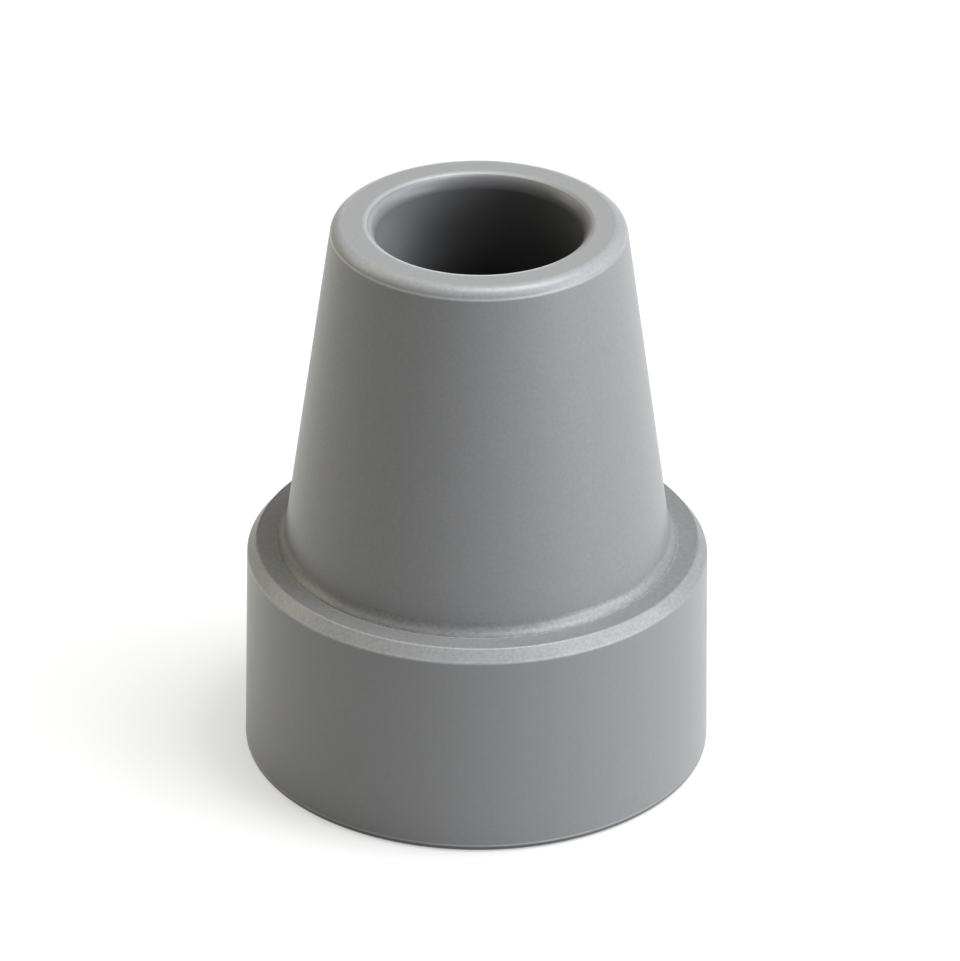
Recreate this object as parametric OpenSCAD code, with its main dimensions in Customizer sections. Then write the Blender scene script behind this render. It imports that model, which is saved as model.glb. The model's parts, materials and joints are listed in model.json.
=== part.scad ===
// Rubber tip for the foot of a walking cane, moulded in one piece.
// The axis is Z, the floor plane is z = 0, and the shaft enters the socket from above.

/* [Shaft socket] */
// Diameter of the shaft that the tip is pushed onto
shaft_d = 19; // [14:0.5:25]
// Depth of the socket, from the rim to its floor
socket_depth = 40.7; // [25:0.1:46]
// Width of the lead-in bevel round the mouth
lead_in_w = 0.65; // [0.3:0.05:0.9]
// Depth of the lead-in bevel round the mouth
lead_in_h = 1; // [0.5:0.05:1.6]
// Rounding between the rim's flat top and the lead-in
mouth_round = 1; // [0.2:0.1:1.2]
// Rounding between the lead-in and the socket's wall
lead_in_round = 0.8; // [0.2:0.1:1.5]
// Fillet between the socket's wall and its floor
socket_fillet = 1; // [0.4:0.1:3]

/* [Sleeve] */
// Height of the whole tip
overall_h = 53.7; // [48:0.1:70]
// Thickness of the wall at the rim
rim_wall = 3.94; // [3.2:0.02:7]
// Thickness of the wall where the sleeve meets the shoulder
foot_wall = 8.54; // [5:0.02:12]
// Width of the bevel round the outside of the rim
rim_bevel_w = 0.35; // [0.25:0.05:0.9]
// Height of the bevel round the outside of the rim
rim_bevel_h = 0.9; // [0.85:0.05:1.5]
// Rounding between the rim's flat top and its bevel
rim_round = 1.1; // [0.2:0.1:1.2]

/* [Flare at the sleeve's foot] */
// How far the flare stands out over the shoulder
flare_w = 0.58; // [0.4:0.02:1.1]
// Height of the step at the flare's outer edge
flare_step = 0.15; // [0.05:0.05:0.25]
// Height over the shoulder at which the flare would meet the sleeve without its fillet
flare_h = 0.42; // [0.3:0.02:1]
// Fillet between the sleeve and the flare
flare_fillet = 0.8; // [0.3:0.1:0.9]

/* [Base] */
// Height of the shoulder over the floor
base_h = 20.85; // [14:0.05:26]
// Width of the step from the sleeve's foot out to the base's wall
shoulder_w = 3.36; // [2.6:0.02:6]
// Width of the chamfer at the shoulder's outer edge
chamfer_w = 0.94; // [0.4:0.02:1.3]
// Height of the chamfer at the shoulder's outer edge
chamfer_h = 1.12; // [0.4:0.02:2]
// Lean of the base's wall, in degrees
base_draft = 1; // [0:0.1:4]
// Rounding of the edge that meets the floor
edge_round = 0.45; // [0.2:0.05:1.2]

/* [Tread] */
// Number of ring grooves in the underside
groove_count = 2; // [0:1:3]
// Width of a groove at the floor
groove_w = 2.2; // [1.2:0.1:3]
// Depth of a groove
groove_depth = 2; // [0.8:0.1:3]
// Lean of a groove's walls, in degrees
groove_draft = 10; // [2:1:14]
// Width of the outermost ring that meets the floor
edge_land = 5; // [3:0.1:6]
// Width of the rings between the grooves
groove_land = 4; // [2.5:0.1:4.5]

/* [Hidden] */

// Moulded grey rubber
rubber_grey = [0.54, 0.54, 0.55];
// How far a cut runs past the surface that it opens
overrun = 1;
// Steps in each rounded corner of an outline
arc_steps = 6;
// Sides drawn round the axis
round_sides = 160;

shaft_r = shaft_d / 2;
socket_floor = overall_h - socket_depth;
rim_r = shaft_r + rim_wall;
sleeve_foot_r = shaft_r + foot_wall;
base_top_r = sleeve_foot_r + shoulder_w;
base_foot_r = base_top_r + base_h * tan(base_draft);
// How much the sleeve narrows for each unit of height
sleeve_taper = (foot_wall - rim_wall) / (overall_h - base_h);
groove_taper = groove_depth * tan(groove_draft);

// A corner [r, z, rounding] as points: an arc that meets both sides, or the bare point
function unit(v) = v / norm(v);
function corner(before, at, after) =
    let (
        p = [at[0], at[1]],
        u = unit([before[0], before[1]] - p),
        w = unit([after[0], after[1]] - p),
        half = acos(u * w) / 2,
        centre = p + unit(u + w) * at[2] / sin(half),
        first = p + u * at[2] / tan(half) - centre,
        last = p + w * at[2] / tan(half) - centre,
        turn = atan2(first[0] * last[1] - first[1] * last[0], first * last)
    )
    at[2] == 0 ? [p] : [
        for (i = [0 : arc_steps])
            let (a = turn * i / arc_steps)
            centre + [first[0] * cos(a) - first[1] * sin(a), first[0] * sin(a) + first[1] * cos(a)]
    ];

// A closed outline from its corners
function outline(corners) =
    let (n = len(corners))
    [
        for (i = [0 : n - 1])
            each corner(corners[(i + n - 1) % n], corners[i], corners[(i + 1) % n])
    ];

// Half the section: base, shoulder with its chamfer, flare, tapered sleeve, rim, and the blind socket
// that grips the shaft by its plain wall
module body() {
    rotate_extrude($fn = round_sides)
        polygon(outline([
            [0, 0, 0],
            [base_foot_r, 0, edge_round],
            [base_top_r + chamfer_h * tan(base_draft), base_h - chamfer_h, 0],
            [base_top_r - chamfer_w, base_h, 0],
            [sleeve_foot_r + flare_w, base_h, 0],
            [sleeve_foot_r + flare_w, base_h + flare_step, 0],
            [sleeve_foot_r - flare_h * sleeve_taper, base_h + flare_h, flare_fillet],
            [rim_r + rim_bevel_h * sleeve_taper, overall_h - rim_bevel_h, 0],
            [rim_r + rim_bevel_h * sleeve_taper - rim_bevel_w, overall_h, rim_round],
            [shaft_r + lead_in_w, overall_h, mouth_round],
            [shaft_r, overall_h - lead_in_h, lead_in_round],
            [shaft_r, socket_floor, socket_fillet],
            [0, socket_floor, 0]
        ]));
}

// Ring grooves in the underside, from the outermost inwards
module tread() {
    for (i = [0 : 1 : groove_count - 1])
        let (outer = base_foot_r - edge_land - i * (groove_w + groove_land))
            rotate_extrude($fn = round_sides)
                polygon([
                    [outer, -overrun],
                    [outer, 0],
                    [outer - groove_taper, groove_depth],
                    [outer - groove_w + groove_taper, groove_depth],
                    [outer - groove_w, 0],
                    [outer - groove_w, -overrun]
                ]);
}

module cane_tip() {
    color(rubber_grey)
        difference() {
            body();
            tread();
        }
}

cane_tip();
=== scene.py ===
import json
from math import cos, hypot, pi, radians, sin, tan

import bmesh
import bpy
from mathutils import Matrix, Vector


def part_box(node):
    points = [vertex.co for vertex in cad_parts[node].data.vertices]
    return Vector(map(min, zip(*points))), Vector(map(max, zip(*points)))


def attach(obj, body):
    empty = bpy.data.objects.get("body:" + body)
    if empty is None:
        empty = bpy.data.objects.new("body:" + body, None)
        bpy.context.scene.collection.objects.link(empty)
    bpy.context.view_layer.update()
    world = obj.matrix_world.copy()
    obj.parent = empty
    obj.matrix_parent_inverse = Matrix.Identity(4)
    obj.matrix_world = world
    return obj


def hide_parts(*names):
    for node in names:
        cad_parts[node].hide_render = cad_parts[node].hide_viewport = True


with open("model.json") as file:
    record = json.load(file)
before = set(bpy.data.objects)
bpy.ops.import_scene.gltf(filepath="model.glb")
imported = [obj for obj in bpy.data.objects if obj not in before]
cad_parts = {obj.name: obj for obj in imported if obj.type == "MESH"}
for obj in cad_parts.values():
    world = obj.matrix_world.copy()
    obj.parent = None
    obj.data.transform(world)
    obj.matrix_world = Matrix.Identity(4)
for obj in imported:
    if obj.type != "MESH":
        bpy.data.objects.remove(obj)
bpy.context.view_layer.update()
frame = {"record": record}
scene = bpy.context.scene
scene.view_settings.view_transform = "Standard"

# The tip
# One moulding in grey rubber: a heavy drafted base, a chamfered shoulder, and a tapered sleeve with a
# blind socket for the cane's shaft. It comes out of a two-part mould, so every edge is a little round.
mm = 0.001
overall_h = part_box("cane_tip")[1].z
mounts = {mount["name"]: mount for mount in frame["record"]["mounts"]}
socket_r = mounts["shaft_socket"]["dims"]["r_mm"] * mm
socket_floor = 13.0 * mm
socket_fillet = 1.0 * mm
lead_in_w = 0.65 * mm
lead_in_h = 1.0 * mm
mouth_edge_r = socket_r + 0.9 * mm
mouth_edge_drop = 0.24 * mm
mouth_lip_r = socket_r + 0.76 * lead_in_w
# Below this depth the socket's painted shade is darkest.
socket_shade_depth = 10 * mm

base_h = 20.85 * mm
rim_wall = 3.94 * mm
foot_wall = 8.54 * mm
rim_r = socket_r + rim_wall
sleeve_foot_r = socket_r + foot_wall
sleeve_taper = (sleeve_foot_r - rim_r) / (overall_h - base_h)
rim_bevel_w = 0.35 * mm
rim_bevel_h = 0.9 * mm
bevel_foot_r = rim_r + rim_bevel_h * sleeve_taper
flare_w = 0.58 * mm
flare_step = 0.1 * mm
flare_h = 0.64 * mm
flare_r = sleeve_foot_r + flare_w

# The base's foot stays a hair inside the facets of the solid that this mesh replaces.
hair = 0.01 * mm
shoulder_w = 3.36 * mm
base_draft = tan(radians(1))
base_top_r = sleeve_foot_r + shoulder_w
base_foot_r = base_top_r + base_h * base_draft - hair
chamfer_w = 0.82 * mm
chamfer_h = 1.05 * mm
# How high the painted highlight line runs above the foot.
foot_highlight_h = 0.6 * mm

groove_depth = 2.0 * mm
groove_w = 2.2 * mm
groove_taper = groove_depth * tan(radians(10))
edge_land = 5.0 * mm
groove_land = 4.0 * mm

# The half section, from the middle of the underside round to the middle of the socket's floor.
# Each corner is (radius, height, how far its rounding reaches along the sides, its tone, the tone of
# the side after it, its grain). A tone over 1 is painted light, mostly highlights, and one under 1 is
# painted shade.
# A side without a tone fades from one corner to the next. Grain is 1 where the moulding is rough.
half_section = [(0, 0, 0, 1, 1, 0)]
for groove in (1, 0):
    outer = base_foot_r - edge_land - groove * (groove_w + groove_land)
    half_section += [
        (outer - groove_w, 0, 0.25 * mm, 1, 1, 0),
        (outer - groove_w + groove_taper, groove_depth, 0.3 * mm, 1, 1, 0),
        (outer - groove_taper, groove_depth, 0.3 * mm, 1, 1, 0),
        (outer, 0, 0.25 * mm, 1, 1, 0),
    ]
half_section += [
    # The foot's round is painted dark as shade, and a thin painted highlight runs just above it.
    (base_foot_r, 0, 0.45 * mm, 0.45, 1, 0.2),
    (base_foot_r - foot_highlight_h * base_draft, foot_highlight_h, 0, 2, 1, 0.1),
    # The chamfer and its edges carry painted highlights, and the shoulder is painted darker as shade.
    (base_top_r + chamfer_h * base_draft, base_h - chamfer_h, 0.08 * mm, 1.62, 1.36, 0.5),
    (base_top_r - chamfer_w, base_h, 0.08 * mm, 1.3, 0.83, 0.5),
    # The flare's step is painted paler as light, and its lip and fillet darker as shade.
    (flare_r, base_h, 0.04 * mm, 1, 1.5, 0.8),
    (flare_r, base_h + flare_step, 0.04 * mm, 0.75, None, 0.8),
    (sleeve_foot_r - flare_h * sleeve_taper, base_h + flare_h, 0.52 * mm, 0.9, 0.97, 0.6),
    # The rim's bevel, its foot and its round carry painted highlights, and its flat top is painted paler
    # as light.
    (bevel_foot_r, overall_h - rim_bevel_h, 0.08 * mm, 1.9, 1.25, 0.2),
    (bevel_foot_r - rim_bevel_w, overall_h, 0.75 * mm, 1.25, 1.15, 0.3),
    # The mouth's edge carries a painted highlight.
    (mouth_edge_r, overall_h, 0.14 * mm, 1.5, 1.5, 0.1),
    # The lead-in and the socket are painted darker as shade, darkest below the shade depth.
    (mouth_lip_r, overall_h - mouth_edge_drop, 0.2 * mm, 0.85, None, 0.1),
    (socket_r, overall_h - lead_in_h, 0.4 * mm, 0.65, None, 0),
    (socket_r, overall_h - socket_shade_depth, 0, 0.15, 0.15, 0),
    (socket_r, socket_floor, socket_fillet, 0.15, 0.15, 0),
    (0, socket_floor, 0, 0.15, 0.15, 0),
]
round_steps = 6
turn_steps = 256
ring_gap = 2.5 * mm
edge_ring = 0.12 * mm
most_margin = 0.3
weld_gap = 0.001 * mm

bm = bmesh.new()
tone = bm.verts.layers.float.new("tone")
grain = bm.verts.layers.float.new("grain")
number = bm.verts.layers.int.new("number")
corners, reaches, side_tones = [], [], []
for index, (r, z, reach, corner_tone, side_tone, corner_grain) in enumerate(half_section):
    vert = bm.verts.new((r, 0, z))
    vert[tone] = corner_tone
    vert[grain] = corner_grain
    vert[number] = index
    if corners:
        bm.edges.new((corners[-1], vert))
    corners.append(vert)
    reaches.append(reach)
    side_tones.append(side_tone)
for vert, reach in zip(corners, reaches):
    if reach:
        bmesh.ops.bevel(
            bm, geom=[vert], offset=reach, offset_type="OFFSET", segments=round_steps,
            profile=0.5, affect="VERTICES", material=-1,
        )

# A side with a tone gets a ring near both its ends, to hold the tone, and long sides get rings between.
for edge in list(bm.edges):
    start, end = sorted(edge.verts, key=lambda vert: vert[number])
    side_tone = side_tones[start[number]]
    if start[number] == end[number] or side_tone is None:
        continue
    side_grain = min(start[grain], end[grain])
    margin = min(edge_ring / edge.calc_length(), most_margin)
    near = bmesh.utils.edge_split(edge, start, margin)[1]
    far = bmesh.utils.edge_split(edge, end, margin / (1 - margin))[1]
    for vert in (near, far):
        vert[tone] = side_tone
        vert[grain] = side_grain
for edge in list(bm.edges):
    cuts = int(edge.calc_length() / ring_gap)
    if cuts:
        bmesh.ops.subdivide_edges(bm, edges=[edge], cuts=cuts)
bmesh.ops.spin(
    bm, geom=bm.verts[:] + bm.edges[:], cent=(0, 0, 0), axis=(0, 0, 1), angle=2 * pi,
    steps=turn_steps, use_merge=True,
)
bmesh.ops.remove_doubles(bm, verts=bm.verts, dist=weld_gap)
bmesh.ops.recalc_face_normals(bm, faces=bm.faces)
bm.verts.layers.int.remove(number)

# The painted light and shade change round the axis. The painted highlights on the edges are fainter
# on the right, and the base's also behind, where its chamfer gets painted shade too. The mouth's edge
# gets a brighter painted highlight in front. The flare gets a painted highlight at the right of its
# front, and its step painted light at the left. The socket's wall is painted paler on the left, most of
# all further down.
painted_highlight_tone = 1.28
right_fade = (0.4, 0.95)
back_fade = (-0.2, 0.1)
fade_share = 0.9
most_fade = 1.4
back_shade = (-0.19, 0.15)
back_shade_share = 0.28
mouth_highlight_r = mouth_edge_r + 0.21 * mm
pale_from = 2.5 * mm
pale_to = 8 * mm
pale_per_mm = 0.66
palest_wall = 1.05
flare_highlight_top = base_h + 0.75 * mm
flare_highlight_turn = radians(300)
flare_highlight_side = Vector((cos(flare_highlight_turn), sin(flare_highlight_turn), 0))
flare_highlight_gain = 0.35
# Where the flare's step gets painted light.
step_turn = radians(255)
step_side = Vector((cos(step_turn), sin(step_turn), 0))
step_gain = 0.9


def ramp(value, start, full, most):
    return min(max((value - start) / (full - start), 0), most)


for vert in bm.verts:
    out = Vector((vert.co.x, vert.co.y, 0)).normalized()
    r = hypot(vert.co.x, vert.co.y)
    z = vert.co.z
    # Painted highlights, the tones over this threshold, fade on the right and, on the base, behind.
    if vert[tone] > painted_highlight_tone:
        fade = ramp(out.x, *right_fade, most_fade)
        if z < base_h + hair:
            fade = max(fade, ramp(out.y, *back_fade, most_fade))
        vert[tone] -= (vert[tone] - 1) * fade_share * fade
        # The chamfer's painted highlights also get painted shade behind.
        if foot_highlight_h + hair < z < base_h + hair:
            vert[tone] *= 1 - back_shade_share * ramp(out.y, *back_shade, 1)
    # The mouth's painted highlight is brighter in front and a little darker elsewhere.
    if r < mouth_highlight_r and z > overall_h - mouth_edge_drop - hair:
        vert[tone] *= 0.92 + 0.5 * max(-out.y, 0) ** 3
    # The socket is painted darker on the right and behind and paler in front, and paler still on the left
    # further down, as painted light and shade.
    if r < socket_r + lead_in_w and z > socket_floor:
        vert[tone] *= 1.2 - 0.25 * out.x - 0.4 * out.y
        depth = min(overall_h - z, pale_to)
        if depth > pale_from:
            paler = pale_per_mm * max(-out.x, 0) ** 2 * (depth - pale_from) / mm
            vert[tone] = min(vert[tone] * (1 + paler), palest_wall)
    # A painted highlight on the flare at the right of its front.
    if r < flare_r and base_h + hair < z < flare_highlight_top:
        vert[tone] *= 1 + flare_highlight_gain * max(out.dot(flare_highlight_side), 0) ** 12
    # Painted light on the flare's step at the left of its front.
    if sleeve_foot_r < r < flare_r + edge_ring and hair < z - base_h < flare_step + hair:
        vert[tone] *= 1 + step_gain * max(out.dot(step_side), 0) ** 8
for face in bm.faces:
    face.smooth = True
tip_mesh = bpy.data.meshes.new("cane_tip_rubber")
bm.to_mesh(tip_mesh)
bm.free()
tip = bpy.data.objects.new("cane_tip_rubber", tip_mesh)
scene.collection.objects.link(tip)
tip.modifiers.new("Flats", "WEIGHTED_NORMAL")

# The rubber is a plain matte grey, which the mesh's tone makes paler with painted light and highlights
# and darker with painted shade.
rubber = bpy.data.materials.new("grey_rubber")
rubber.use_nodes = True
nodes, links = rubber.node_tree.nodes, rubber.node_tree.links
shader = nodes["Principled BSDF"]
shader.inputs["Roughness"].default_value = 0.36
place = nodes.new("ShaderNodeTexCoord")
painted_shading = nodes.new("ShaderNodeAttribute")
painted_shading.attribute_name = "tone"
rough = nodes.new("ShaderNodeAttribute")
rough.attribute_name = "grain"

# The plain skin is faintly mottled, and much more so where the moulding is rough.
skin = nodes.new("ShaderNodeTexNoise")
skin.inputs["Scale"].default_value = 3200
skin.inputs["Detail"].default_value = 2
links.new(place.outputs["Object"], skin.inputs["Vector"])
specks = nodes.new("ShaderNodeMapRange")
specks.inputs["From Min"].default_value = 0.3
specks.inputs["From Max"].default_value = 0.7
specks.inputs["To Min"].default_value = -1
specks.inputs["To Max"].default_value = 1
links.new(skin.outputs["Fac"], specks.inputs["Value"])
strength = nodes.new("ShaderNodeMapRange")
strength.inputs["To Min"].default_value = 0.012
strength.inputs["To Max"].default_value = 0.2
links.new(rough.outputs["Fac"], strength.inputs["Value"])
mottle = nodes.new("ShaderNodeMath")
mottle.operation = "MULTIPLY_ADD"
mottle.inputs[2].default_value = 1
links.new(specks.outputs["Result"], mottle.inputs[0])
links.new(strength.outputs["Result"], mottle.inputs[1])
pale = nodes.new("ShaderNodeMath")
pale.operation = "MULTIPLY"
links.new(painted_shading.outputs["Fac"], pale.inputs[0])
links.new(mottle.outputs[0], pale.inputs[1])
grey = nodes.new("ShaderNodeMix")
grey.data_type = "RGBA"
grey.blend_type = "MULTIPLY"
grey.inputs["Factor"].default_value = 1
grey.inputs["A"].default_value = (0.27, 0.27, 0.27, 1)
links.new(pale.outputs[0], grey.inputs["B"])
links.new(grey.outputs["Result"], shader.inputs["Base Color"])

# The mould leaves a fine matte texture.
bump = nodes.new("ShaderNodeBump")
bump.inputs["Strength"].default_value = 0.06
bump.inputs["Distance"].default_value = 0.05 * mm
links.new(skin.outputs["Fac"], bump.inputs["Height"])
links.new(bump.outputs["Normal"], shader.inputs["Normal"])
tip_mesh.materials.append(rubber)
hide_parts("cane_tip")
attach(tip, "root")

# The floor
# A white sheet that the tip stands on, a hair under it. It is lit as paper is, and the camera sees its
# paper white.
floor_half = 1.5
floor_drop = 0.02 * mm
bm = bmesh.new()
bmesh.ops.create_grid(
    bm, x_segments=1, y_segments=1, size=floor_half, matrix=Matrix.Translation((0, 0, -floor_drop)),
)
floor_mesh = bpy.data.meshes.new("floor")
bm.to_mesh(floor_mesh)
bm.free()
floor = bpy.data.objects.new("floor", floor_mesh)
scene.collection.objects.link(floor)

# Seen straight or mirrored, the sheet is half lit paper and half an even glow. It throws less light back.
paper = bpy.data.materials.new("white_paper")
paper.use_nodes = True
nodes, links = paper.node_tree.nodes, paper.node_tree.links
sheet = nodes["Principled BSDF"]
sheet.inputs["Roughness"].default_value = 0.9
sheet.inputs["Specular IOR Level"].default_value = 0
path = nodes.new("ShaderNodeLightPath")
mirrored = nodes.new("ShaderNodeMath")
mirrored.operation = "MAXIMUM"
links.new(path.outputs["Is Glossy Ray"], mirrored.inputs[0])
links.new(path.outputs["Is Transmission Ray"], mirrored.inputs[1])
seen = nodes.new("ShaderNodeMath")
seen.operation = "MAXIMUM"
links.new(path.outputs["Is Camera Ray"], seen.inputs[0])
links.new(mirrored.outputs[0], seen.inputs[1])
white = nodes.new("ShaderNodeMix")
white.data_type = "RGBA"
white.inputs["A"].default_value = (0.5, 0.5, 0.5, 1)
white.inputs["B"].default_value = (0.95, 0.95, 0.95, 1)
links.new(seen.outputs[0], white.inputs["Factor"])
links.new(white.outputs["Result"], sheet.inputs["Base Color"])
glow = nodes.new("ShaderNodeEmission")
glow.inputs["Strength"].default_value = 1
half = nodes.new("ShaderNodeMath")
half.operation = "MULTIPLY"
half.inputs[1].default_value = 0.5
links.new(seen.outputs[0], half.inputs[0])
blend = nodes.new("ShaderNodeMixShader")
links.new(half.outputs[0], blend.inputs["Fac"])
links.new(sheet.outputs[0], blend.inputs[1])
links.new(glow.outputs[0], blend.inputs[2])
links.new(blend.outputs[0], nodes["Material Output"].inputs["Surface"])
floor_mesh.materials.append(paper)

# The light
# Soft boxes on stands: a high key with one overhead, lower ones on the right, a low strip behind, and
# weaker warm ones on the left.
lamp_distance = 0.8


def soft_box(name, azimuth, elevation, wide, tall, power, colour):
    lamp = bpy.data.lights.new(name, "AREA")
    lamp.shape = "RECTANGLE"
    lamp.size = wide
    lamp.size_y = tall
    lamp.energy = power
    lamp.color = colour
    side, rise = radians(azimuth), radians(elevation)
    away = Vector((cos(side) * cos(rise), sin(side) * cos(rise), sin(rise)))
    box = bpy.data.objects.new(name, lamp)
    box.location = lamp_distance * away
    box.rotation_euler = away.to_track_quat("Z", "Y").to_euler()
    scene.collection.objects.link(box)


soft_box("key", 0, 66, 0.4, 0.4, 3.6, (0.88, 0.9, 1))
soft_box("top", 0, 82, 0.45, 0.45, 4.0, (1, 0.99, 0.95))
soft_box("side", 328, 42, 0.35, 0.35, 0.9, (0.92, 0.95, 1))
soft_box("right_front", 334, 12, 0.4, 0.3, 2.6, (0.94, 0.955, 1))
soft_box("right", 0, 22, 0.4, 0.3, 1.5, (0.9, 0.97, 1))
soft_box("back", 90, 4, 0.4, 0.15, 0.6, (1, 1, 1))
soft_box("left_back", 150, 45, 0.35, 0.4, 0.76, (1, 0.98, 0.76))
soft_box("left", 165, 25, 0.35, 0.4, 0.95, (1, 0.95, 0.76))
world = bpy.data.worlds.new("studio")
scene.world = world
world.use_nodes = True
world.node_tree.nodes["Background"].inputs["Strength"].default_value = 0

# The camera
# A long lens, two thirds of a metre away, looking down on the tip by a little under thirty degrees.
# It stands straight in front and is rolled by a third of a degree.
look_down = radians(28.945)
lens_roll = 0.0061
aim = Vector((0.22 * mm, 0, 26.92 * mm))
distance = 652.8 * mm
eye = aim + distance * Vector((0, -cos(look_down), sin(look_down)))
lens = bpy.data.cameras.new("camera")
lens.sensor_fit = "HORIZONTAL"
lens.sensor_width = 36
lens.lens = 264.2
lens.clip_start = 0.01
camera = bpy.data.objects.new("camera", lens)
tilt = Matrix.Rotation(pi / 2 - look_down, 4, "X")
roll = Matrix.Rotation(lens_roll, 4, "Z")
camera.matrix_world = Matrix.Translation(eye) @ tilt @ roll
scene.collection.objects.link(camera)
scene.camera = camera
